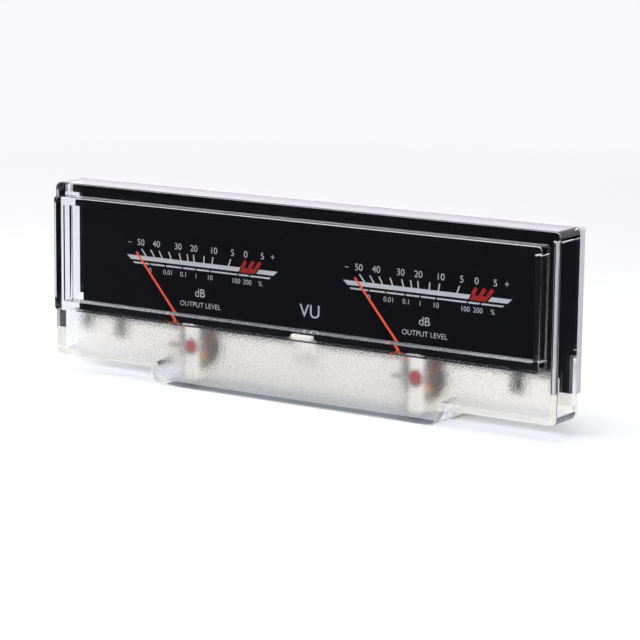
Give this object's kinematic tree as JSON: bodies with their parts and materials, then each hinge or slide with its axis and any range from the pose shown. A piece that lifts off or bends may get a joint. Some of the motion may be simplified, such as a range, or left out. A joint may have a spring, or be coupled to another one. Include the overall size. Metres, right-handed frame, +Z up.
{
  "type": "double panel meter",
  "caption": "Wide clear-cased double panel meter: sprung red pointers over a black dial behind a raised window, with a foot tab under the front.",
  "frame": {"origin": "on the front face that the panel seats on, midway between the two pointer axes and level with them", "axes": "+X to the right seen from the front, +Y back from the panel into the case, +Z up"},
  "size_m": [0.134, 0.028, 0.045],
  "materials": {
    "clear_plastic": "clear, polished",
    "opal_plastic": "opal, polished edge",
    "dial_black": "matt black",
    "cream_plastic": "satin",
    "white_plastic": "satin",
    "board": "satin",
    "lamp_lens": "gloss",
    "pin_metal": "tinned",
    "steel": "plain",
    "soft_iron": "plated",
    "magnet": "ground",
    "brass": "plain",
    "red_lacquer": "gloss",
    "spring_bronze": "plain",
    "pointer_red": "red paint",
    "aluminium": "plain",
    "copper": "enamelled copper wire"
  },
  "bodies": {
    "case": {"front_cover": "clear_plastic", "light_plate": "opal_plastic", "dial_plate": "dial_black", "movement_base": "cream_plastic", "base_lid": "cream_plastic", "rear_cover": "white_plastic", "lamp_board": "board", "lamps": "lamp_lens", "lamp_pins": "pin_metal", "case_screws": "steel", "yoke_ring_left": "soft_iron", "core_magnet_left": "magnet", "core_bracket_left": "brass", "front_bridge_left": "cream_plastic", "front_jewel_screw_left": "brass", "rear_jewel_screw_left": "brass", "red_seal_left": "red_lacquer", "zero_regulator_left": "brass", "front_hairspring_left": "spring_bronze", "rear_hairspring_left": "spring_bronze", "coil_pins_left": "pin_metal", "yoke_ring_right": "soft_iron", "core_magnet_right": "magnet", "core_bracket_right": "brass", "front_bridge_right": "cream_plastic", "front_jewel_screw_right": "brass", "rear_jewel_screw_right": "brass", "red_seal_right": "red_lacquer", "zero_regulator_right": "brass", "front_hairspring_right": "spring_bronze", "rear_hairspring_right": "spring_bronze", "coil_pins_right": "pin_metal"},
    "pointer_left": {"pointer_left": "pointer_red", "counterweight_left": "brass", "coil_frame_left": "aluminium", "coil_winding_left": "copper", "front_staff_left": "steel", "rear_staff_left": "steel", "spring_collets_left": "brass"},
    "pointer_right": {"pointer_right": "pointer_red", "counterweight_right": "brass", "coil_frame_right": "aluminium", "coil_winding_right": "copper", "front_staff_right": "steel", "rear_staff_right": "steel", "spring_collets_right": "brass"}
  },
  "joints": [
    {"name": "swing_left", "type": "hinge", "parent": "case", "child": "pointer_left", "pos_m": [-0.03025, 0.0095, 0], "axis": [0, 1, 0], "range_deg": [0, 84], "stiffness_Nm_per_rad": 0.000005, "springref_deg": -8.59},
    {"name": "swing_right", "type": "hinge", "parent": "case", "child": "pointer_right", "pos_m": [0.03025, 0.0095, 0], "axis": [0, 1, 0], "range_deg": [0, 84], "stiffness_Nm_per_rad": 0.000005, "springref_deg": -8.59}
  ]
}
